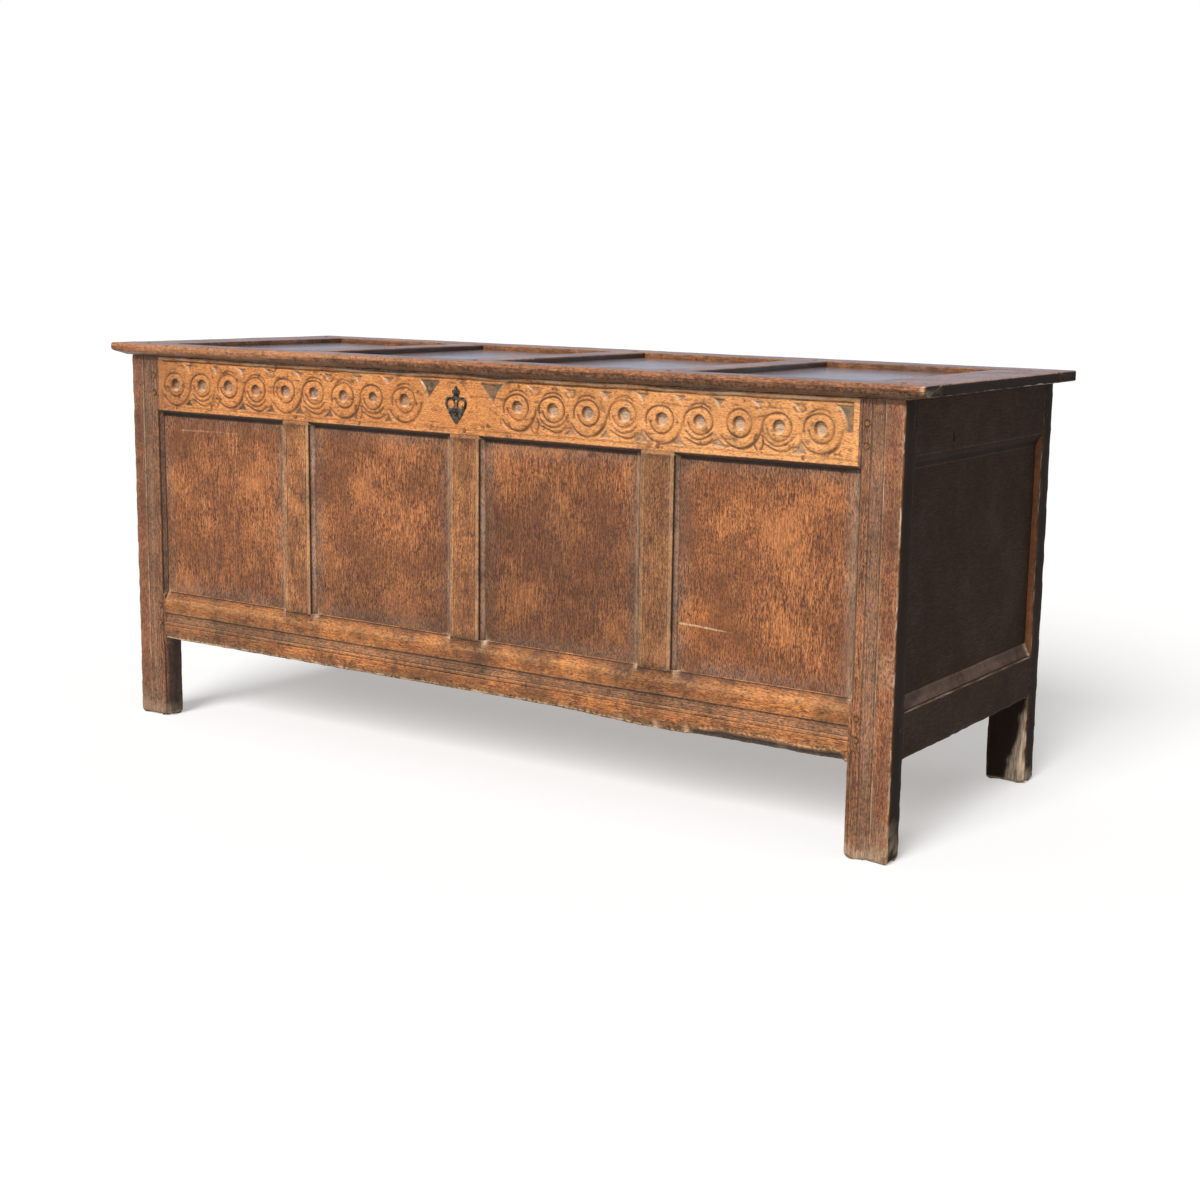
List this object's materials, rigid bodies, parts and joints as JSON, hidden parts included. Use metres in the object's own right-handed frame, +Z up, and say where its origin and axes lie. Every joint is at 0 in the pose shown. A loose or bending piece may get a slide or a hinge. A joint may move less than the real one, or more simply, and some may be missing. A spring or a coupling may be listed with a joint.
{
  "type": "joined oak coffer",
  "caption": "Joined oak coffer: a panelled chest on corner posts, with a guilloche-carved top rail, a hinged framed lid and an iron lock.",
  "frame": {"origin": "on the floor, under the middle of the whole chest with its lid and hinges", "axes": "+X along the front to the right, +Y towards the back, +Z up"},
  "size_m": [1.53, 0.5605, 0.6518],
  "materials": {
    "oak_frame": "old oak, worn and waxed",
    "carved_oak": "carved oak, rubbed bright with grey ground",
    "oak_panel": "riven oak panel, open pores",
    "waxed_oak": "waxed oak, worn at the edge",
    "waxed_oak_panel": "waxed dark oak",
    "plain_oak": "bare dry oak",
    "oak_pegs": "split oak pegs",
    "wrought_iron": "dark wrought iron"
  },
  "bodies": {
    "carcase": {"back_bottom_rail": "oak_frame", "back_left_post": "oak_frame", "back_muntin_1": "oak_frame", "back_muntin_2": "oak_frame", "back_muntin_3": "oak_frame", "back_panel_1": "oak_panel", "back_panel_2": "oak_panel", "back_panel_3": "oak_panel", "back_panel_4": "oak_panel", "back_right_post": "oak_frame", "back_top_rail": "oak_frame", "carcase_nails": "wrought_iron", "carcase_pegs": "oak_pegs", "floor_board_1": "plain_oak", "floor_board_2": "plain_oak", "floor_board_3": "plain_oak", "floor_board_4": "plain_oak", "front_bottom_rail": "oak_frame", "front_left_post": "oak_frame", "front_muntin_1": "oak_frame", "front_muntin_2": "oak_frame", "front_muntin_3": "oak_frame", "front_panel_1": "oak_panel", "front_panel_2": "oak_panel", "front_panel_3": "oak_panel", "front_panel_4": "oak_panel", "front_right_post": "oak_frame", "front_top_rail": "carved_oak", "left_bottom_rail": "oak_frame", "left_hinge_pin": "wrought_iron", "left_hinge_plate": "wrought_iron", "left_panel": "oak_panel", "left_top_rail": "oak_frame", "lock_case": "wrought_iron", "lock_plate": "wrought_iron", "lock_spring": "wrought_iron", "right_bottom_rail": "oak_frame", "right_hinge_pin": "wrought_iron", "right_hinge_plate": "wrought_iron", "right_panel": "oak_panel", "right_top_rail": "oak_frame"},
    "lid": {"left_hinge_strap": "wrought_iron", "lid_back_rail": "waxed_oak", "lid_front_rail": "waxed_oak", "lid_left_end": "waxed_oak", "lid_muntin_1": "waxed_oak", "lid_muntin_2": "waxed_oak", "lid_muntin_3": "waxed_oak", "lid_nails": "wrought_iron", "lid_panel_1": "waxed_oak_panel", "lid_panel_2": "waxed_oak_panel", "lid_panel_3": "waxed_oak_panel", "lid_panel_4": "waxed_oak_panel", "lid_pegs": "waxed_oak", "lid_right_end": "waxed_oak", "lid_staple": "wrought_iron", "right_hinge_strap": "wrought_iron"},
    "bolt": {"lock_bolt": "wrought_iron"}
  },
  "joints": [
    {"name": "lid_hinge", "type": "hinge", "parent": "carcase", "child": "lid", "pos_m": [0, 0.27425, 0.6313], "axis": [-1, 0, 0], "range_deg": [0, 100]},
    {"name": "bolt_slide", "type": "slide", "parent": "carcase", "child": "bolt", "axis": [1, 0, 0], "range_m": [0, 0.014]}
  ]
}
